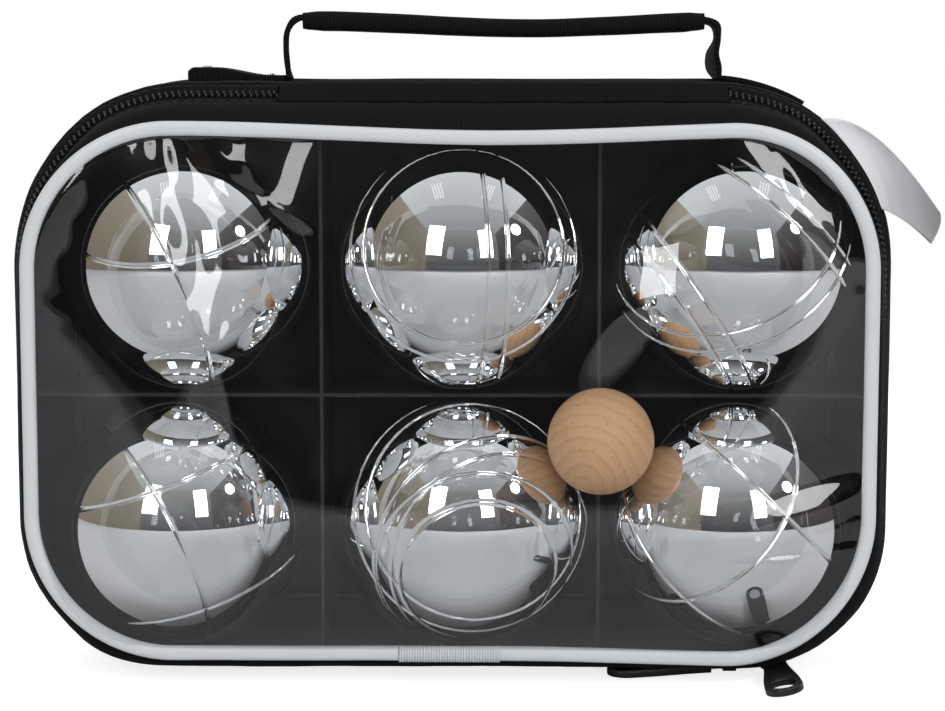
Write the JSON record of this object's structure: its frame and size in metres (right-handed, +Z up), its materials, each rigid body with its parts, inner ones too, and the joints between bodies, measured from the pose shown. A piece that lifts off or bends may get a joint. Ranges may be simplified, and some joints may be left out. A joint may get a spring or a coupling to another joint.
{
  "type": "petanque boule set in a carrying case",
  "caption": "Polished petanque boules and a wooden jack in a black zipped carrying case with a clear front window, dividers and a webbing handle.",
  "frame": {"origin": "on the base that the case stands on, in the middle of its width and of its depth", "axes": "+X to the right seen from the window side, +Y away from the window, +Z up"},
  "size_m": [0.2677, 0.093, 0.1871],
  "materials": {
    "case_cloth": "woven polyester, lightly padded",
    "board": "matt board",
    "black_piping": "smooth vinyl piping",
    "zip_tape": "fine woven tape",
    "zip_coil": "nylon coil",
    "ribbed_tape": "ribbed binding tape",
    "divider_sheet": "thin matt sheet",
    "webbing": "woven webbing",
    "grip_cloth": "ribbed cloth sleeve",
    "foam": "soft filler",
    "satin": "white satin, slightly glossy",
    "clear_pvc": "clear soft PVC, slightly wavy",
    "white_piping": "white vinyl piping, satin gloss",
    "white_braid": "white ribbed braid",
    "slider_metal": "black enamel",
    "pull_rubber": "moulded rubber",
    "beech": "turned beech, bare",
    "polished_shell": "mirror polished",
    "mortar": "set filling, hidden"
  },
  "bodies": {
    "case": {"back_panel": "case_cloth", "back_board": "board", "base_board": "board", "rear_gusset": "case_cloth", "rear_piping": "black_piping", "zip_tape_rear": "zip_tape", "zip_teeth_rear": "zip_coil", "hinge_strip": "ribbed_tape", "divider_left": "divider_sheet", "divider_right": "divider_sheet", "divider_cross": "divider_sheet", "handle_patch_left": "webbing", "handle_patch_right": "webbing", "care_label": "satin"},
    "lid": {"window": "clear_pvc", "front_piping": "white_piping", "piping_sleeve": "white_braid", "front_gusset": "case_cloth", "zip_tape_front": "zip_tape", "zip_teeth_front": "zip_coil"},
    "handle": {"handle_riser_left": "webbing", "handle_riser_right": "webbing", "handle_strap": "webbing", "handle_sleeve": "grip_cloth", "handle_filler": "foam"},
    "left_slider": {"slider_left": "slider_metal"},
    "right_slider": {"slider_right": "slider_metal"},
    "left_pull": {"pull_left": "pull_rubber"},
    "right_pull": {"pull_right": "pull_rubber"},
    "jack": {"jack": "beech"},
    "boule_bottom_left": {"boule_bottom_left_front_shell": "polished_shell", "boule_bottom_left_rear_shell": "polished_shell", "boule_bottom_left_weld": "polished_shell", "boule_bottom_left_core": "mortar"},
    "boule_bottom_middle": {"boule_bottom_middle_front_shell": "polished_shell", "boule_bottom_middle_rear_shell": "polished_shell", "boule_bottom_middle_weld": "polished_shell", "boule_bottom_middle_core": "mortar"},
    "boule_bottom_right": {"boule_bottom_right_front_shell": "polished_shell", "boule_bottom_right_rear_shell": "polished_shell", "boule_bottom_right_weld": "polished_shell", "boule_bottom_right_core": "mortar"},
    "boule_top_left": {"boule_top_left_front_shell": "polished_shell", "boule_top_left_rear_shell": "polished_shell", "boule_top_left_weld": "polished_shell", "boule_top_left_core": "mortar"},
    "boule_top_middle": {"boule_top_middle_front_shell": "polished_shell", "boule_top_middle_rear_shell": "polished_shell", "boule_top_middle_weld": "polished_shell", "boule_top_middle_core": "mortar"},
    "boule_top_right": {"boule_top_right_front_shell": "polished_shell", "boule_top_right_rear_shell": "polished_shell", "boule_top_right_weld": "polished_shell", "boule_top_right_core": "mortar"}
  },
  "joints": [
    {"name": "lid_hinge", "type": "hinge", "parent": "case", "child": "lid", "pos_m": [0, -0.019, 0.16491], "axis": [-1, 0, 0], "range_deg": [0, 110]},
    {"name": "handle_press", "type": "slide", "parent": "case", "child": "handle", "axis": [0, 0, 1], "range_m": [-0.012, 0], "stiffness_N_per_m": 60, "springref_m": 0.005, "deforming": ["handle_riser_left", "handle_riser_right"]},
    {"name": "left_slider_run", "type": "slide", "parent": "case", "child": "left_slider", "axis": [-1, 0, 0], "range_m": [0, 0.158]},
    {"name": "right_slider_run", "type": "hinge", "parent": "case", "child": "right_slider", "pos_m": [0.08175, -0.019, 0.04531], "axis": [0, -1, 0], "range_deg": [0, 72]},
    {"name": "left_pull_swivel", "type": "hinge", "parent": "left_slider", "child": "left_pull", "pos_m": [0.07762, -0.019, 0.00155], "axis": [0, 0, 1], "range_deg": [0, 78]},
    {"name": "right_pull_swivel", "type": "hinge", "parent": "right_slider", "child": "right_pull", "pos_m": [0.09179, -0.019, 0.00282], "axis": [-0.1908, 0, 0.9816], "range_deg": [0, 75]},
    {"name": "jack_roll", "type": "hinge", "parent": "case", "child": "jack", "pos_m": [0.04225, -0.02255, 0.06665], "axis": [0, 0, 1], "continuous": true},
    {"name": "boule_bottom_left_roll", "type": "hinge", "parent": "case", "child": "boule_bottom_left", "pos_m": [-0.07865, -0.0006, 0.04045], "axis": [0, 0, 1], "continuous": true},
    {"name": "boule_bottom_middle_roll", "type": "hinge", "parent": "case", "child": "boule_bottom_middle", "pos_m": [0.00332, -0.0006, 0.04045], "axis": [0, 0, 1], "continuous": true},
    {"name": "boule_bottom_right_roll", "type": "hinge", "parent": "case", "child": "boule_bottom_right", "pos_m": [0.08117, -0.0006, 0.04045], "axis": [0, 0, 1], "continuous": true},
    {"name": "boule_top_left_roll", "type": "hinge", "parent": "case", "child": "boule_top_left", "pos_m": [-0.07535, -0.0006, 0.11495], "axis": [0, 0, 1], "continuous": true},
    {"name": "boule_top_middle_roll", "type": "hinge", "parent": "case", "child": "boule_top_middle", "pos_m": [0.00291, -0.0006, 0.11495], "axis": [0, 0, 1], "continuous": true},
    {"name": "boule_top_right_roll", "type": "hinge", "parent": "case", "child": "boule_top_right", "pos_m": [0.082, -0.0006, 0.11495], "axis": [0, 0, 1], "continuous": true}
  ]
}
